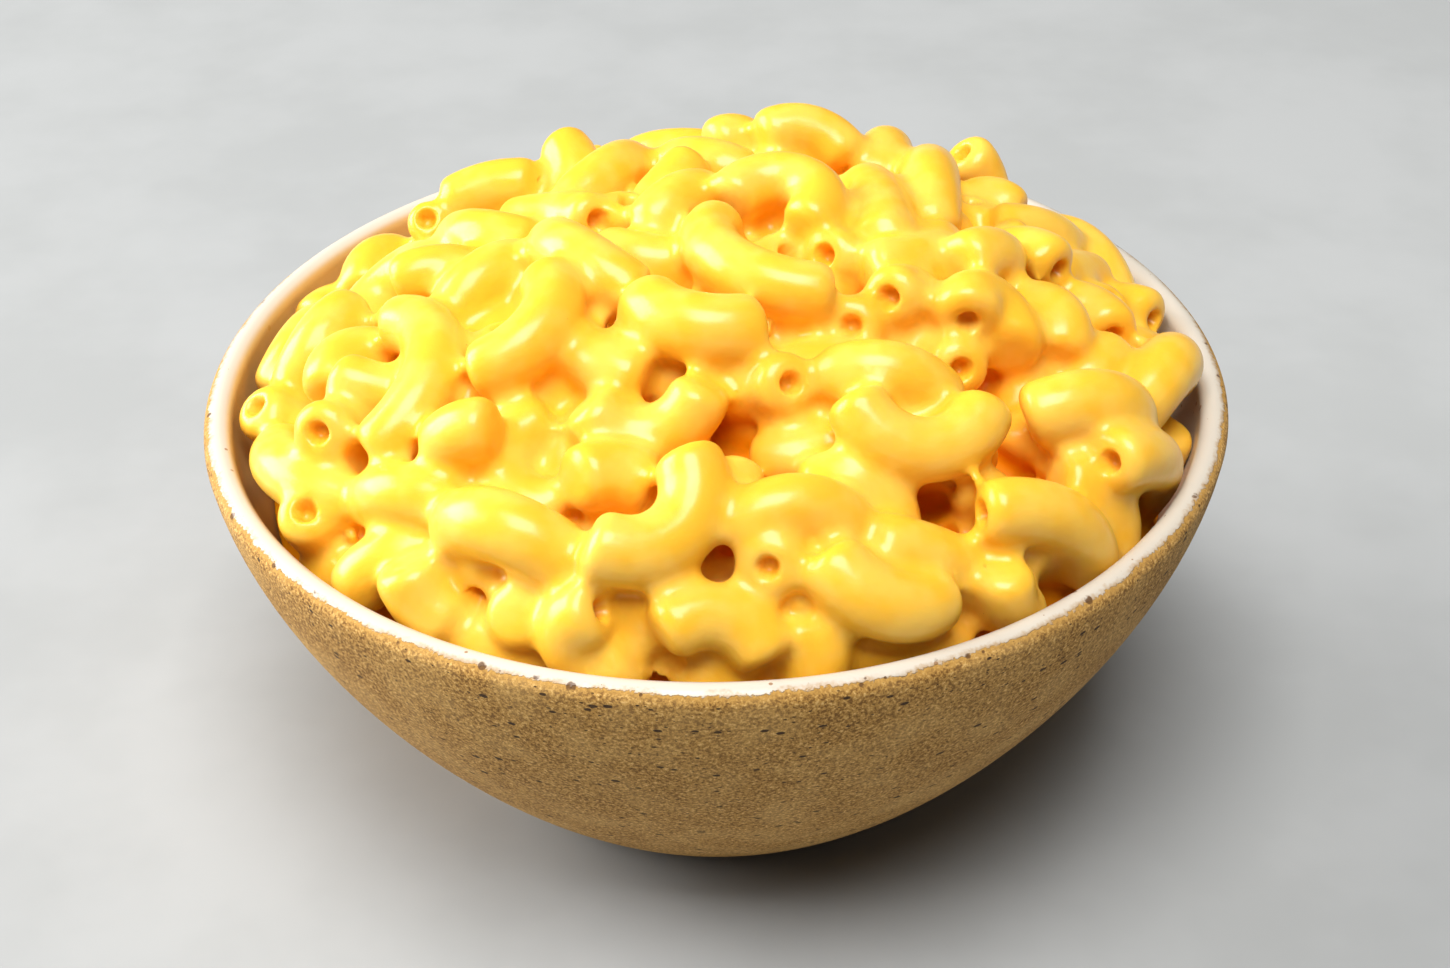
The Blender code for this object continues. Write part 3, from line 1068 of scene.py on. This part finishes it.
@dataclass
class Settling:
    """Moves overlapping elbows apart, each of them kept rigid and held to where it was laid.

    Each elbow is a row of `points`. Points of two elbows may sink `overlap` into each other, as
    the sauce joins them. Those that sink deeper are pushed apart, and the nearer one also
    towards the camera by the share `forward`. A seen elbow is drawn back across the photograph
    by the share `firm` a round, an unseen one by `loose`, and both in depth by `depth_hold`.
    """

    rounds: int = 100
    overlap: float = 0.5 * MM
    looked: float = 13.0 * MM
    forward: float = 0.7
    firm: float = 0.6
    loose: float = 0.04
    depth_hold: float = 0.06
    points: int = 9
    looks_every: int = 8
    unseen_near: float = -50.0
    seen_weight: float = 4.0
    wall_samples: int = 60
    wall_gap: float = 0.4 * MM
    least_out: float = 1.0 * MM
    tiny: float = 1e-9

    def run(
        self,
        arcs: list[Arc],
        nears: np.ndarray,
        sights: np.ndarray,
        bowl: "Bowl",
        top: float,
    ) -> list[Arc]:
        """Move the elbows apart.

        Args:
            arcs: their middle lines.
            nears: how near each point of each lies, in mm; not a number for those laid at random.
            sights: the unit way from each towards the camera.
            bowl: the bowl whose wall they stay inside.
            top: the greatest height that a tube's skin may reach.

        Returns:
            The moved middle lines.
        """
        laid = np.array([[tuple(p) for p in arc.samples(self.points)] for arc in arcs])
        seen = ~np.isnan(nears[:, 0])
        owner = np.repeat(np.arange(len(arcs)), self.points)
        radius = np.repeat([arc.thickness for arc in arcs], self.points)
        rank = np.where(seen[:, None], nears, self.unseen_near).reshape(-1)
        weight = np.where(seen, self.seen_weight, 1.0)[owner]
        sight = sights[owner]
        hold = np.where(seen, self.firm, self.loose)[:, None, None]
        now = laid.copy()
        for turn in range(self.rounds):
            flat = now.reshape(-1, 3)
            if turn % self.looks_every == 0:
                pairs = self.neighbours(flat, owner)
                first, second = pairs
                wanted = radius[first] + radius[second] - self.overlap
                ahead = np.sign(rank[first] - rank[second]) * self.forward
                lean = sight[first] * ahead[:, None]
                share = (weight[second] / (weight[first] + weight[second]))[:, None]
            now = (flat + self.pushes(flat, pairs, wanted, lean, share)).reshape(laid.shape)
            back = laid - now
            along = (back * sights[:, None]).sum(axis=2, keepdims=True) * sights[:, None]
            now = now + (back - along) * hold + along * self.depth_hold
            now = self.kept_in(now, radius.reshape(len(arcs), -1), bowl, top)
            turns, middles = self.rigid(laid, now)
            start = laid.mean(axis=1, keepdims=True)
            now = (laid - start) @ turns.transpose(0, 2, 1) + middles
        return self.placed(arcs, laid, turns, middles)

    def neighbours(self, flat: np.ndarray, owner: np.ndarray) -> tuple[np.ndarray, np.ndarray]:
        """Find the pairs of points that are near enough to touch within a few rounds.

        Args:
            flat: the points of all the elbows.
            owner: the number of the elbow that each point belongs to.

        Returns:
            The numbers of each pair's first point and of its second, on different elbows.
        """
        squares = (flat**2).sum(axis=1)
        apart = squares[:, None] + squares[None] - 2.0 * flat @ flat.T
        first, second = np.nonzero(np.triu(apart < self.looked**2, 1))
        other = owner[first] != owner[second]
        return first[other], second[other]

    def pushes(
        self,
        flat: np.ndarray,
        pairs: tuple[np.ndarray, np.ndarray],
        wanted: np.ndarray,
        lean: np.ndarray,
        share: np.ndarray,
    ) -> np.ndarray:
        """Work out how overlapping points push one another.

        Args:
            flat: the points of all the elbows.
            pairs: the numbers of the points of each pair.
            wanted: how far apart the points of each pair should be at least.
            lean: which way the first of each pair is pushed besides straight away.
            share: how much of each push the first of the pair takes.

        Returns:
            The move of each point.
        """
        first, second = pairs
        way = flat[first] - flat[second]
        reach = np.linalg.norm(way, axis=1) + self.tiny
        short = np.clip(wanted - reach, 0.0, None)
        push = way / reach[:, None] + lean
        push *= (short * 0.5 / (np.linalg.norm(push, axis=1) + self.tiny))[:, None]
        moves = np.zeros_like(flat)
        np.add.at(moves, first, push * share)
        np.add.at(moves, second, -push * (1.0 - share))
        touches = np.bincount(first[short > 0], minlength=len(flat))
        touches = touches + np.bincount(second[short > 0], minlength=len(flat))
        return moves / np.maximum(touches * 0.5, 1.0)[:, None]

    def kept_in(self, now: np.ndarray, radius: np.ndarray, bowl: "Bowl", top: float) -> np.ndarray:
        """Keep the points below the highest level and inside the bowl's wall.

        Args:
            now: the points, by elbow.
            radius: the tube's radius at each.
            bowl: the bowl.
            top: the greatest height that a tube's skin may reach.

        Returns:
            The points, drawn down and in.
        """
        heights = np.linspace(bowl.floor_thickness, bowl.height, self.wall_samples)
        walls = np.array([bowl.inner(z) for z in heights])
        now[:, :, 2] = np.minimum(now[:, :, 2], top - radius)
        most = np.interp(now[:, :, 2], heights, walls) - radius
        out = np.hypot(now[:, :, 0], now[:, :, 1])
        drawn_in = np.minimum((most - self.wall_gap) / np.maximum(out, self.least_out), 1.0)
        now[:, :, :2] *= drawn_in[:, :, None]
        return now

    def placed(
        self, arcs: list[Arc], laid: np.ndarray, turns: np.ndarray, middles: np.ndarray
    ) -> list[Arc]:
        """Move the middle lines as their points were moved.

        Args:
            arcs: the middle lines as laid.
            laid: their points as laid.
            turns: how each has turned.
            middles: where the middle of each now is.

        Returns:
            The moved middle lines.
        """
        moved = []
        for i, arc in enumerate(arcs):
            turn = Matrix(turns[i].tolist())
            origin = Vector(laid[i].mean(axis=0))
            target = Vector(middles[i, 0])
            start = turn @ (arc.start - origin) + target
            centre = turn @ (arc.centre - origin) + target
            moved.append(replace(arc, start=start, centre=centre, axis=turn @ arc.axis))
        return moved

    def rigid(self, laid: np.ndarray, now: np.ndarray) -> tuple[np.ndarray, np.ndarray]:
        """The rigid move of each elbow that comes closest to where its points are now.

        Args:
            laid: the points as laid, by elbow.
            now: the points now.

        Returns:
            The turns, and the new middles.
        """
        middles = now.mean(axis=1, keepdims=True)
        spread = np.einsum("nki,nkj->nij", now - middles, laid - laid.mean(axis=1, keepdims=True))
        left, _, right = np.linalg.svd(spread)
        flips = np.sign(np.linalg.det(left @ right))
        left[:, :, 2] *= flips[:, None]
        return left @ right, middles


@dataclass
class Heap:
    """The macaroni: elbows laid over a domed pool of sauce, all coated in one skin of sauce.

    The heap's level is that of the top layer's middle lines: a dome with a crown a little off
    its middle, leaning towards one bearing at the edge. Each of the `layers` of unseen elbows
    is given by its lift from that level, how many places it tries and how far apart middle
    lines have to be. `cap` rounds a tube's end by insets, each so far inward and outward, and
    `trim` is what an elbow loses at each end to make room for it. `voxel` is the fineness of
    the skin of sauce and `fillet` how deep a crease it fills.
    """

    bowl: Bowl
    view: Viewpoint
    dome_radius: float = 71.0 * MM
    edge_drop: float = 5.0 * MM
    edge_lean: float = 3.0 * MM
    low_bearing: float = math.radians(135)
    dome_rise: float = 26.0 * MM
    dome_fullness: float = 2.5
    crown_at: tuple[float, float] = (14.0 * MM, 40.0 * MM)
    crown_rise: float = 4.5 * MM
    crown_spread: float = 15.0 * MM
    tube_radius: float = 4.65 * MM
    bend_radius: float = 9.2 * MM
    sweeps: tuple[float, float] = (math.radians(95), math.radians(165))
    tube_sides: int = 20
    tube_steps: int = 12
    cap: tuple[tuple[float, float], ...] = (
        (0.15 * MM, 0.8 * MM),
        (0.45 * MM, 0.75 * MM),
        (0.85 * MM, 0.6 * MM),
        (0.9 * MM, 0.2 * MM),
    )
    trim: float = 0.9 * MM
    dimple_radius: float = 2.0 * MM
    dimple_depth: float = 2.3 * MM
    dimple_rim: float = 1.6
    dimple_skin: float = 1.2 * MM
    dimple_facing: float = 0.4
    # dimple_shade, with dimple_floor and dimple_core, sets painted shade in the floor of each tube
    # end's hole.
    dimple_shade: float = 0.45
    dimple_margin: float = 1.0 * MM
    dimple_floor: float = 0.4 * MM
    dimple_core: float = 0.7
    # The next two set the painted shade between the elbows: the depth below the level, in mm,
    # where it starts and the depth over which it becomes full.
    crevice_shade_from_mm: float = 1.5
    crevice_shade_over_mm: float = 6.5
    layers: tuple[tuple[float, int, float], ...] = (
        (0.0, 150, 6.8 * MM),
        (-4.5 * MM, 200, 5.0 * MM),
        (-9.0 * MM, 170, 5.0 * MM),
    )
    laid_radius: float = 70.0 * MM
    tries: int = 60
    jitter: float = 3.0 * MM
    lift_range: tuple[float, float] = (-1.0 * MM, 0.8 * MM)
    arch_spread: float = math.radians(38)
    roll_spread: float = math.radians(26)
    thickness_range: tuple[float, float] = (0.94, 1.06)
    wall_gap: float = 0.4 * MM
    seat_gap: float = 0.3 * MM
    deep_lift: float = -6.0 * MM
    pool_depth: float = 10.5 * MM
    pool_floor: float = 38.0 * MM
    pool_steps: int = 10
    pool_rings: int = 28
    pool_sides: int = 128
    filling_steps: int = 16
    filling_sides: int = 96
    voxel: float = 0.5 * MM
    fillet: float = 1.1 * MM
    smoothing: float = 0.5
    smoothing_rounds: tuple[int, int] = (2, 3)
    most_faces: int = 190000
    least_rise: float = 0.4 * MM
    most_rise: float = 1.25
    least_bulge: float = 0.3 * MM
    flattest: float = 1.05
    nearest: float = 0.2
    sight_step: float = 0.25 * MM
    sight_steps: int = 1400
    highest: float = 99.0 * MM
    hollow_reach: float = 34.0
    seed: int = 7
    arcs: list[Arc] = field(default_factory=list)

    def level(self, x: float, y: float) -> float:
        """The usual height of the top layer's middle line.

        Args:
            x: how far right of the bowl's middle.
            y: how far behind the bowl's middle.

        Returns:
            The height there.
        """
        reach = math.hypot(x, y) / self.dome_radius
        lean = self.edge_lean * reach * math.cos(math.atan2(y, x) - self.low_bearing)
        dome = self.dome_rise * (1.0 - reach**self.dome_fullness)
        off_crown = math.hypot(x - self.crown_at[0], y - self.crown_at[1]) / self.crown_spread
        crown = self.crown_rise * math.exp(-0.5 * off_crown**2)
        return self.bowl.height - self.edge_drop - lean + dome + crown

    def facing(self, x: float, y: float) -> Vector:
        """The way that the heap's surface faces.

        Args:
            x: how far right of the bowl's middle.
            y: how far behind the bowl's middle.

        Returns:
            The normal there.
        """
        step = 1.0 * MM
        slope_x = (self.level(x + step, y) - self.level(x - step, y)) / (2.0 * step)
        slope_y = (self.level(x, y + step) - self.level(x, y - step)) / (2.0 * step)
        return Vector((-slope_x, -slope_y, 1.0)).normalized()

    def under(self, pixel: Pixel, near: float) -> Vector:
        """Where a pixel's line of sight meets the heap's level.

        Args:
            pixel: the pixel of the photograph.
            near: how far in mm to come back from there towards the camera.

        Returns:
            The place, kept inside the bowl's wall.
        """
        origin = Vector(self.view.place)
        way = self.view.towards(pixel)
        least, best = math.inf, origin
        for i in range(self.sight_steps):
            place = origin + way * (self.nearest + self.sight_step * i)
            out = math.hypot(place.x, place.y)
            beyond = max(out - self.dome_radius, 0.0)
            inward = min(self.dome_radius / out, 1.0)
            gap = place.z - self.level(place.x * inward, place.y * inward)
            miss = math.hypot(max(gap, 0.0), beyond)
            if miss < least:
                least, best = miss, place
            if miss == 0.0:
                break
        return self.within_wall(best - way * near * MM, self.tube_radius)

    def within_wall(self, place: Vector, clear: float) -> Vector:
        """Slide a place in from the bowl's wall.

        Args:
            place: the place.
            clear: how far it has to stay from the wall.

        Returns:
            The place, or the nearest one that is clear.
        """
        most = self.bowl.inner(min(place.z, self.bowl.height)) - clear - self.seat_gap
        out = math.hypot(place.x, place.y)
        if out <= most:
            return place
        return Vector((place.x * most / out, place.y * most / out, place.z))

    def arc_through(self, seen: Seen) -> Arc:
        """The circle's arc through an elbow's three points.

        Args:
            seen: the elbow as the photograph shows it.

        Returns:
            Its middle line.
        """
        pixels = (seen.start, seen.middle, seen.end)
        first, second, third = (self.under(*point) for point in zip(pixels, seen.nears()))
        if not isinstance(seen.near, tuple):
            second = self.bent(first, second, third, seen)
        half = (third - first).length / 2.0
        chord = (third - first).normalized()
        middle = (first + third) / 2.0
        rise = second - middle
        rise -= chord * rise.dot(chord)
        if rise.length < self.least_rise:
            sight = -self.view.towards(seen.middle)
            rise = (sight - chord * sight.dot(chord)).normalized() * self.least_rise
        height = min(rise.length, self.most_rise * half)
        rise.normalize()
        radius = (half**2 + height**2) / (2.0 * height)
        centre = middle + rise * (height - radius)
        sweep = 2.0 * math.atan2(half, radius - height)
        thickness = self.tube_radius * seen.thick
        axis = rise.cross(chord).normalized()
        return Arc(first, centre, axis, sweep, thickness, seen.open_at)

    def bent(self, first: Vector, second: Vector, third: Vector, seen: Seen) -> Vector:
        """Move an elbow's middle in depth until the elbow has its true bend.

        Args:
            first: its start.
            second: its middle.
            third: its end.
            seen: the elbow as the photograph shows it.

        Returns:
            The middle, bent towards the camera or away from it.
        """
        sight = -self.view.towards(seen.middle)
        half = (third - first).length / 2.0
        radius = max(self.bend_radius, half * self.flattest)
        wanted = radius - math.sqrt(radius**2 - half**2)
        chord = (first + third) / 2.0
        across = second - chord
        across -= sight * across.dot(sight)
        missing = math.sqrt(max(wanted**2 - across.length_squared, self.least_bulge**2))
        return chord + across + sight * missing * seen.bulge

    def lay_random(self, anchor: tuple[float, float], lift: float, draw: random.Random) -> Arc:
        """An elbow lying at random near a place on the dome.

        Args:
            anchor: the place.
            lift: how far above the usual level.
            draw: the seeded source of chance.

        Returns:
            Its middle line.
        """
        x = anchor[0] + draw.uniform(-self.jitter, self.jitter)
        y = anchor[1] + draw.uniform(-self.jitter, self.jitter)
        normal = self.facing(x, y)
        at = Vector((x, y, self.level(x, y) + lift)) + normal * draw.uniform(*self.lift_range)
        turn = Vector((0.0, 0.0, 1.0)).rotation_difference(normal).to_matrix()
        turn = turn @ Matrix.Rotation(draw.uniform(0.0, 2.0 * math.pi), 3, "Z")
        turn = turn @ Matrix.Rotation(draw.gauss(0.0, self.arch_spread), 3, "Y")
        turn = turn @ Matrix.Rotation(draw.gauss(0.0, self.roll_spread), 3, "X")
        sweep = draw.uniform(*self.sweeps)
        middle = self.bend_radius * (1.0 + math.cos(sweep / 2.0)) / 2.0
        centre = at + turn @ Vector((-middle, 0.0, 0.0))
        half = Matrix.Rotation(-sweep / 2.0, 3, "Z")
        start = centre + turn @ half @ Vector((self.bend_radius, 0.0, 0.0))
        thickness = self.tube_radius * draw.uniform(*self.thickness_range)
        return Arc(start, centre, turn @ Vector((0.0, 0.0, 1.0)), sweep, thickness)

    def inside(self, points: list[Vector]) -> bool:
        """Whether a tube stays clear of the wall.

        Args:
            points: points of its middle line.

        Returns:
            True where it does.
        """
        for point in points:
            wall = self.bowl.inner(min(point.z, self.bowl.height))
            if math.hypot(point.x, point.y) + self.tube_radius + self.wall_gap > wall:
                return False
        return True

    def over_hollow(self, points: list[Vector]) -> bool:
        """Whether a tube would cover a gap that the photograph shows.

        Args:
            points: points of its middle line.

        Returns:
            True where it would.
        """
        for point in points:
            x, y = self.view.pixel(point)
            for hollow in HOLLOWS:
                if math.hypot(x - hollow[0], y - hollow[1]) < self.hollow_reach:
                    return True
        return False

    def lay(self) -> None:
        """Lay the elbows: those that the photograph shows, then others in the room left."""
        settling = Settling()
        self.arcs = [self.arc_through(seen) for seen in SEEN.values()]
        shares = np.linspace(0.0, 1.0, settling.points)
        nears = [np.interp(shares, (0.0, 0.5, 1.0), seen.nears()) for seen in SEEN.values()]
        self.settle(settling, nears)
        self.lay_unseen(random.Random(self.seed))
        self.settle(settling, nears)
        LOG.info("laid %d elbows, %d of them as seen", len(self.arcs), len(SEEN))

    def lay_unseen(self, draw: random.Random) -> None:
        """Lay elbows layer by layer at places spread evenly over the dome, where there is room.

        Args:
            draw: the seeded source of chance.
        """
        laid = [np.array([tuple(p) for p in arc.samples()]) for arc in self.arcs]
        golden = math.pi * (3.0 - math.sqrt(5.0))
        for lift, count, closest in self.layers:
            for i in range(count):
                reach = self.laid_radius * math.sqrt((i + 0.5) / count)
                anchor = (reach * math.cos(i * golden), reach * math.sin(i * golden))
                best = self.roomiest(anchor, lift, np.concatenate(laid), draw)
                if best and best[0] > closest:
                    self.arcs.append(best[1])
                    laid.append(best[2])

    def roomiest(
        self,
        anchor: tuple[float, float],
        lift: float,
        others: np.ndarray,
        draw: random.Random,
    ) -> Optional[tuple[float, Arc, np.ndarray]]:
        """Try elbows at random near a place, and choose the one with the most room.

        Args:
            anchor: the place.
            lift: how far above the usual level.
            others: the points of the elbows laid so far.
            draw: the seeded source of chance.

        Returns:
            Its room, its middle line and the points of that, or None where no try would do.
        """
        best: Optional[tuple[float, Arc, np.ndarray]] = None
        for _ in range(self.tries):
            arc = self.lay_random(anchor, lift, draw)
            points = arc.samples()
            if not self.inside(points):
                continue
            if lift > self.deep_lift and self.over_hollow(points):
                continue
            line = np.array([tuple(p) for p in points])
            gaps = np.linalg.norm(line[:, None] - others[None], axis=2)
            room = float(gaps.min())
            if best is None or room > best[0]:
                best = (room, arc, line)
        return best

    def settle(self, settling: Settling, nears: list[np.ndarray]) -> None:
        """Move the elbows apart.

        Args:
            settling: the way of doing it.
            nears: how near the points of each seen elbow lie, in mm.
        """
        unseen = len(self.arcs) - len(nears)
        unknown = np.full((unseen, settling.points), np.nan)
        known = np.concatenate([np.array(nears), unknown])
        sights = []
        for i, arc in enumerate(self.arcs):
            middle = arc.at(0.5)
            if i < len(nears):
                sights.append((Vector(self.view.place) - middle).normalized())
            else:
                sights.append(self.facing(middle.x, middle.y))
        ways = np.array([tuple(sight) for sight in sights])
        self.arcs = settling.run(self.arcs, known, ways, self.bowl, self.highest)

    def elbow(self, arc: Arc, number: int) -> bpy.types.Object:
        """Model one elbow: a ring spun into a bent tube, with rounded ends.

        Args:
            arc: its middle line.
            number: its number, for its name.

        Returns:
            The elbow.
        """
        deselect()
        along = arc.axis.cross(arc.start - arc.centre).normalized()
        if arc.sweep < 0.0:
            along = -along
        turn = Vector((0.0, 0.0, 1.0)).rotation_difference(along)
        bpy.ops.mesh.primitive_circle_add(
            vertices=self.tube_sides,
            radius=arc.thickness,
            fill_type="NGON",
            location=arc.start,
            rotation=turn.to_euler(),
        )
        piece = bpy.context.active_object
        piece.name = f"elbow_{number}"
        bpy.ops.object.transform_apply(location=True, rotation=True, scale=True)
        bpy.ops.object.mode_set(mode="EDIT")
        bpy.ops.mesh.spin(
            steps=self.tube_steps, angle=-arc.sweep, center=arc.centre, axis=arc.axis
        )
        bpy.ops.mesh.select_all(action="SELECT")
        bpy.ops.mesh.normals_make_consistent(inside=False)
        bpy.ops.mesh.select_all(action="DESELECT")
        bpy.ops.mesh.select_face_by_sides(number=self.tube_sides, type="EQUAL")
        for inward, outward in self.cap:
            bpy.ops.mesh.inset(thickness=inward, depth=outward, use_individual=True)
        bpy.ops.object.mode_set(mode="OBJECT")
        return piece

    def pool(self) -> bpy.types.Object:
        """The sauce and pasta under the top elbows: a domed solid that meets the wall.

        Returns:
            The solid.
        """
        edge = self.bowl.height - self.edge_drop - self.pool_depth
        rise = (edge - self.pool_floor) / self.pool_steps
        heights = [self.pool_floor + rise * i for i in range(self.pool_steps + 1)]
        side = [(self.bowl.inner(z) - self.wall_gap, z) for z in heights]
        radius = side[-1][0]
        shares = [(i + 1) / self.pool_rings for i in range(self.pool_rings)]
        raised = edge + self.bowl.height
        top = [(radius * (1.0 - share), raised) for share in shares]
        piece = turned("pool", [(0.0, self.pool_floor)] + side + top, self.pool_sides)
        places = coordinates(piece)
        for place in places:
            if place[2] > self.bowl.height:
                place[2] = self.level(place[0], place[1]) - self.pool_depth
        move_vertices(piece, places)
        return piece

    def coat(self, piece: bpy.types.Object) -> None:
        """Run the elbows and the pool together under one skin of sauce that fills the creases.

        Args:
            piece: the joined elbows and pool.
        """
        remesh = {"mode": "VOXEL", "voxel_size": self.voxel, "use_smooth_shade": True}
        first_rounds, last_rounds = self.smoothing_rounds
        apply_modifier(piece, "REMESH", **remesh)
        apply_modifier(piece, "DISPLACE", strength=self.fillet, mid_level=0.0)
        apply_modifier(piece, "REMESH", **remesh)
        apply_modifier(piece, "SMOOTH", factor=self.smoothing, iterations=first_rounds)
        apply_modifier(piece, "DISPLACE", strength=-self.fillet, mid_level=0.0)
        apply_modifier(piece, "REMESH", **remesh)
        apply_modifier(piece, "SMOOTH", factor=self.smoothing, iterations=last_rounds)
        self.press_dimples(piece)
        LOG.info("coated: %d faces", len(piece.data.polygons))

    def open_ends(self, places: np.ndarray) -> Iterator[tuple[np.ndarray, ...]]:
        """Find what lies round each tube's open ends.

        Args:
            places: the points to look through.

        Yields:
            The end's outward way, the numbers of the points near it, how far outward of its
            face each lies, and how far each is off its middle line.
        """
        order = np.argsort(places[:, 0])
        sorted_x = places[order, 0]
        reach = self.dimple_radius + self.dimple_margin
        length = sum(outward for _, outward in self.cap)
        for arc in self.arcs:
            for share in arc.open_at.value:
                end = arc.at(share)
                outward = arc.axis.cross(end - arc.centre).normalized() * (2.0 * share - 1.0)
                if arc.sweep < 0.0:
                    outward = -outward
                face = np.array(end + outward * length)
                way = np.array(outward)
                low, high = np.searchsorted(sorted_x, (face[0] - reach, face[0] + reach))
                nearby = order[low:high]
                offset = places[nearby] - face
                nearby = nearby[np.abs(offset).max(axis=1) < reach]
                offset = places[nearby] - face
                along = offset @ way
                off_line = np.linalg.norm(offset - along[:, None] * way, axis=1)
                yield way, nearby, along, off_line

    def press_dimples(self, piece: bpy.types.Object) -> None:
        """Press a rounded hole into each tube end that the sauce leaves in sight.

        Args:
            piece: the coated heap.
        """
        places = coordinates(piece)
        normals = np.empty(len(places) * 3)
        piece.data.vertices.foreach_get("normal", normals)
        normals = normals.reshape(-1, 3)
        for way, nearby, along, off_line in self.open_ends(places.copy()):
            inward = self.dimple_rim * (1.0 - off_line / self.dimple_radius)
            inward = np.clip(inward, 0.0, 1.0)
            inward = inward**2 * (3.0 - 2.0 * inward)
            facing = normals[nearby] @ way > self.dimple_facing
            exposed = (np.abs(along) < self.dimple_skin) & facing
            places[nearby] -= way * (self.dimple_depth * inward * exposed)[:, None]
        move_vertices(piece, places)

    def mark_crevice_shade(self, piece: bpy.types.Object) -> None:
        """Store on each vertex how much painted shade it takes, from how deep it lies between the
        elbows and in the tube ends' holes.

        Args:
            piece: the coated heap.
        """
        places = coordinates(piece)
        level = np.array([self.level(x, y) for x, y, _ in places])
        below = (level - places[:, 2]) / MM
        # Painted shade: the deeper below the heap's level, the more of the golden shade colour.
        crevice_shade = np.clip((below - self.crevice_shade_from_mm) / self.crevice_shade_over_mm, 0.0, 1.0)
        # More painted shade in the floor of each open end's hole.
        for _, nearby, along, off_line in self.open_ends(places):
            core = off_line < self.dimple_radius * self.dimple_core
            pressed = nearby[(along < -self.dimple_floor) & core]
            crevice_shade[pressed] = np.maximum(crevice_shade[pressed], self.dimple_shade)
        paint(piece, CheeseSauce.crevice_shade, crevice_shade)

    def build(self) -> list[bpy.types.Object]:
        """Model and dress the heap.

        Returns:
            Its pieces: the macaroni and the sauce under it.
        """
        self.lay()
        self.arcs = [arc.trimmed(self.trim) for arc in self.arcs]
        elbows = [self.elbow(arc, i) for i, arc in enumerate(self.arcs)]
        pool = self.pool()
        choose(pool)
        for elbow in elbows:
            elbow.select_set(True)
        bpy.ops.object.join()
        macaroni = bpy.context.active_object
        macaroni.name = "macaroni"
        self.coat(macaroni)
        faces = 2 * len(macaroni.data.polygons)
        apply_modifier(macaroni, "DECIMATE", ratio=min(1.0, self.most_faces / faces))
        bpy.ops.object.shade_smooth()
        self.mark_crevice_shade(macaroni)
        sauce = CheeseSauce().material()
        macaroni.data.materials.clear()
        macaroni.data.materials.append(sauce)
        stands_for(macaroni, Piece.HEAP)
        filling = self.filling()
        filling.data.materials.append(sauce)
        stands_for(filling, Piece.HEAP)
        return [macaroni, filling]

    def filling(self) -> bpy.types.Object:
        """The food below the top layers, from the bowl's floor up.

        Returns:
            The solid.
        """
        low = self.bowl.floor_thickness + self.wall_gap
        rise = (self.pool_floor - low) / self.filling_steps
        heights = [low + rise * i for i in range(self.filling_steps + 1)]
        side = [(self.bowl.inner(z - self.wall_gap) - self.wall_gap, z) for z in heights]
        profile = [(0.0, low)] + side + [(0.0, self.pool_floor)]
        piece = turned("macaroni_filling", profile, self.filling_sides)
        # Painted shade over all of the hidden filling, as deep as between the elbows.
        paint(piece, CheeseSauce.crevice_shade, np.ones(len(piece.data.vertices)))
        return piece


# The studio


@dataclass(frozen=True)
class Studio:
    """A pale floor and soft light from the upper left and behind, as in the photograph."""

    floor_size: float = 6.0
    sky: float = 0.07
    sky_colour: Colour = (0.97, 0.985, 1.0, 1.0)
    aim: tuple[float, float, float] = (0.0, 0.0, 0.06)
    window_at: tuple[float, float, float] = (-1.85, 0.5, 0.75)
    window_size: float = 1.4
    window_power: float = 72.0
    overhead_at: tuple[float, float, float] = (-0.1, -0.65, 2.15)
    overhead_size: float = 1.3
    overhead_power: float = 72.0

    def floor(self) -> bpy.types.Object:
        """Lay the floor.

        Returns:
            The floor.
        """
        deselect()
        bpy.ops.mesh.primitive_plane_add(size=self.floor_size, location=(0.0, 0.0, 0.0))
        floor = bpy.context.active_object
        floor.name = "floor"
        floor.data.materials.append(PaleFloor().material())
        return floor

    def lamp(
        self, name: str, place: tuple[float, float, float], size: float, power: float
    ) -> bpy.types.Object:
        """Hang a square soft light that faces the bowl.

        Args:
            name: its name.
            place: where it hangs.
            size: its side in metres.
            power: its power in watts.

        Returns:
            The light.
        """
        data = bpy.data.lights.new(name, "AREA")
        data.size = size
        data.energy = power
        lamp = bpy.data.objects.new(name, data)
        lamp.location = place
        aim = Vector(self.aim) - Vector(place)
        lamp.rotation_euler = aim.to_track_quat("-Z", "Y").to_euler()
        bpy.context.scene.collection.objects.link(lamp)
        return lamp

    def build(self) -> None:
        """Set the floor, the lights and the view's colour."""
        self.floor()
        self.lamp("window", self.window_at, self.window_size, self.window_power)
        self.lamp("overhead", self.overhead_at, self.overhead_size, self.overhead_power)
        world = bpy.data.worlds.new("studio")
        world.use_nodes = True
        sky = world.node_tree.nodes["Background"]
        sky.inputs["Color"].default_value = self.sky_colour
        sky.inputs["Strength"].default_value = self.sky
        scene = bpy.context.scene
        scene.world = world
        scene.view_settings.view_transform = "Standard"
        scene.view_settings.look = "None"


def main() -> None:
    """Build every piece in order and report each."""
    logging.basicConfig(level=logging.INFO, format="%(message)s")
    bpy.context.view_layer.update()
    view = Viewpoint()
    view.camera()
    bowl = Bowl()
    LOG.info("bowl: %d faces", len(bowl.build().data.polygons))
    for piece in Heap(bowl, view).build():
        LOG.info("%s: %d faces", piece.name, len(piece.data.polygons))
    Studio().build()


if __name__ == "__main__":
    main()
